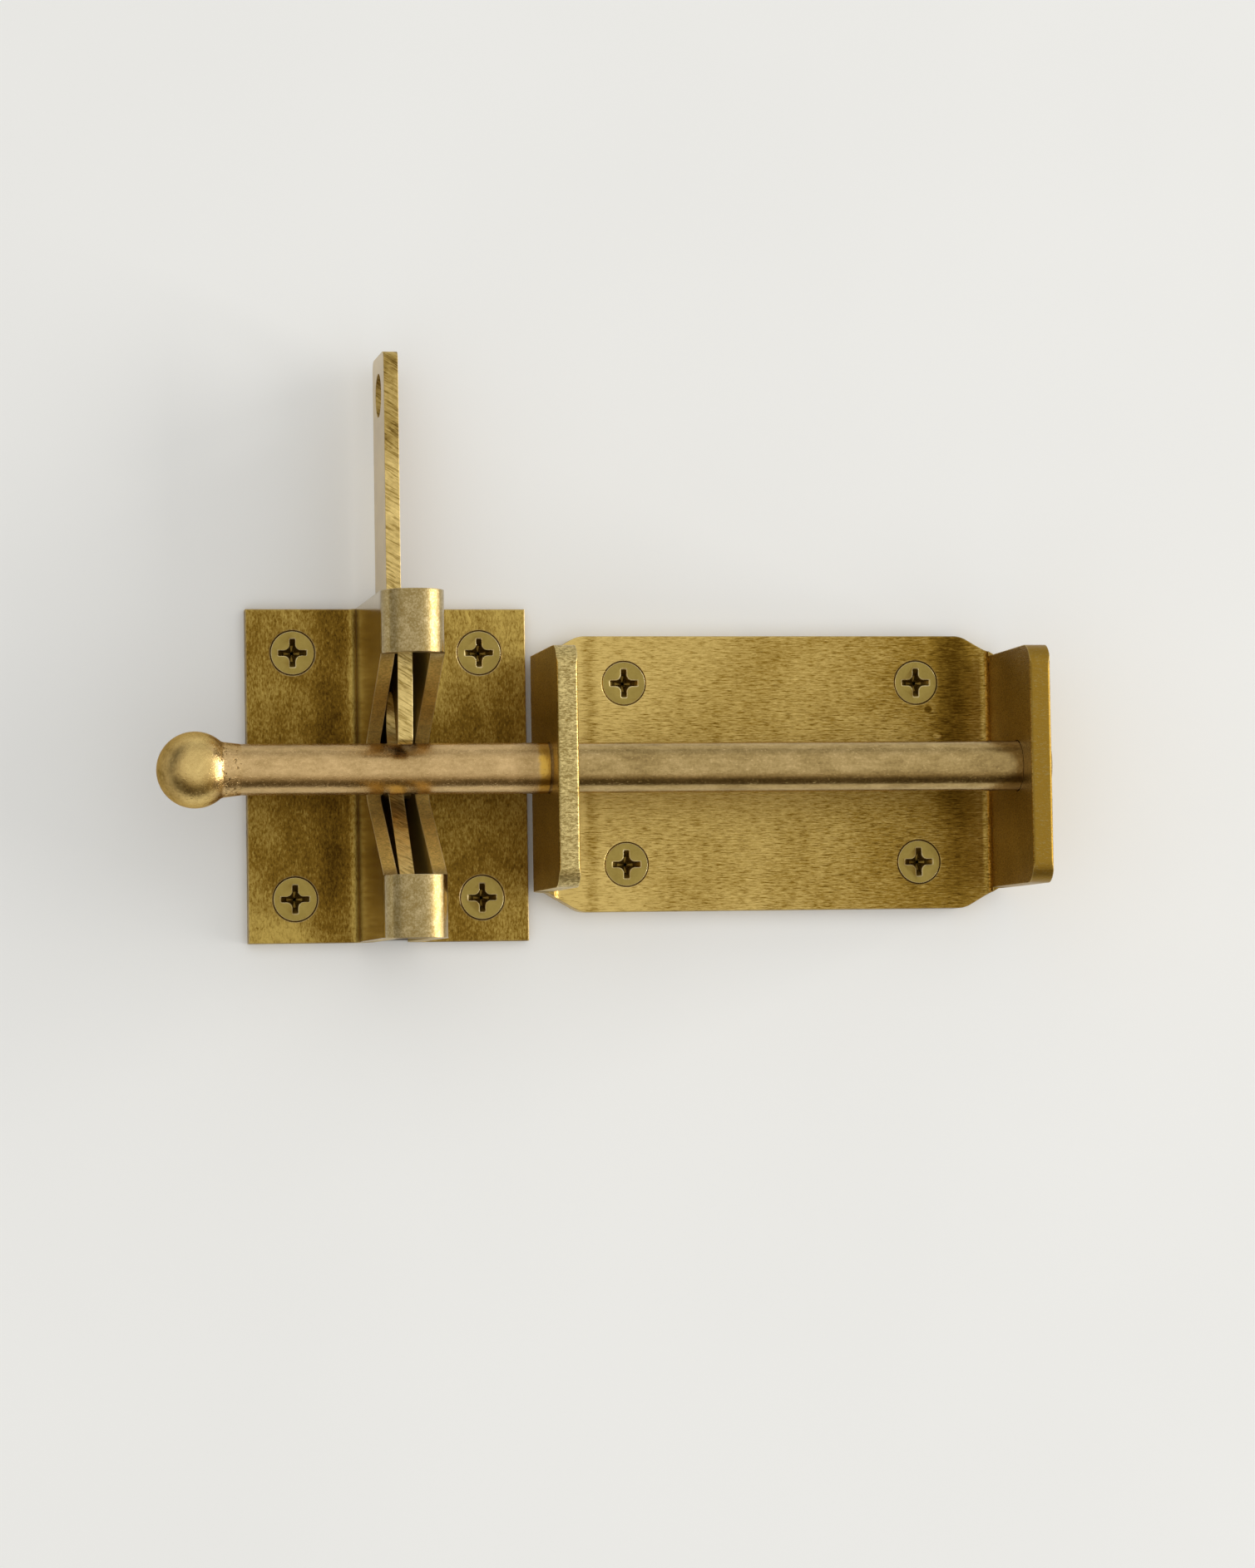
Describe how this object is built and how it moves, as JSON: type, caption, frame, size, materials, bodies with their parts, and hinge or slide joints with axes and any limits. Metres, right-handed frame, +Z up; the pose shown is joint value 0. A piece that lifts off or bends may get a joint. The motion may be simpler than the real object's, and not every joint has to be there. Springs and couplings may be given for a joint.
{
  "type": "toggle bolt latch",
  "caption": "Brass surface bolt with a ball end that slides through bent ears and a folded keeper, where a swinging toggle hook locks it.",
  "frame": {"origin": "on the back of the guide plate, at its middle, behind the bolt's axis", "axes": "+X along the bolt, from its ball towards its plain end; +Z up the door, towards the free end of the toggle's arm; +Y into the door, so the latch reaches out towards -Y"},
  "size_m": [0.1685, 0.0619, 0.1108],
  "materials": {
    "guide": "aged and brushed along the bolt",
    "keeper": "aged, with brown patina",
    "toggle": "aged, with filed edges",
    "bolt": "aged satin",
    "ball": "aged, burnished",
    "pin": "turned",
    "screw": "smooth, lightly aged"
  },
  "bodies": {
    "mounting": {"guide_plate": "guide", "guide_screw_1": "screw", "guide_screw_2": "screw", "guide_screw_3": "screw", "guide_screw_4": "screw", "keeper_plate": "keeper", "keeper_screw_1": "screw", "keeper_screw_2": "screw", "keeper_screw_3": "screw", "keeper_screw_4": "screw", "pivot_pin": "pin", "pivot_washer_1": "pin", "pivot_washer_2": "pin", "pivot_washer_3": "pin"},
    "bolt": {"bolt_rod": "bolt", "ball_end": "ball", "stop_washer": "bolt"},
    "toggle": {"toggle_lever": "toggle"}
  },
  "joints": [
    {"name": "bolt_slide", "type": "slide", "parent": "mounting", "child": "bolt", "axis": [1, 0, 0], "range_m": [0, 0.057]},
    {"name": "toggle_swing", "type": "hinge", "parent": "mounting", "child": "toggle", "pos_m": [-0.0751, -0.0084, 0], "axis": [1, 0, 0], "range_deg": [0, 30]}
  ]
}
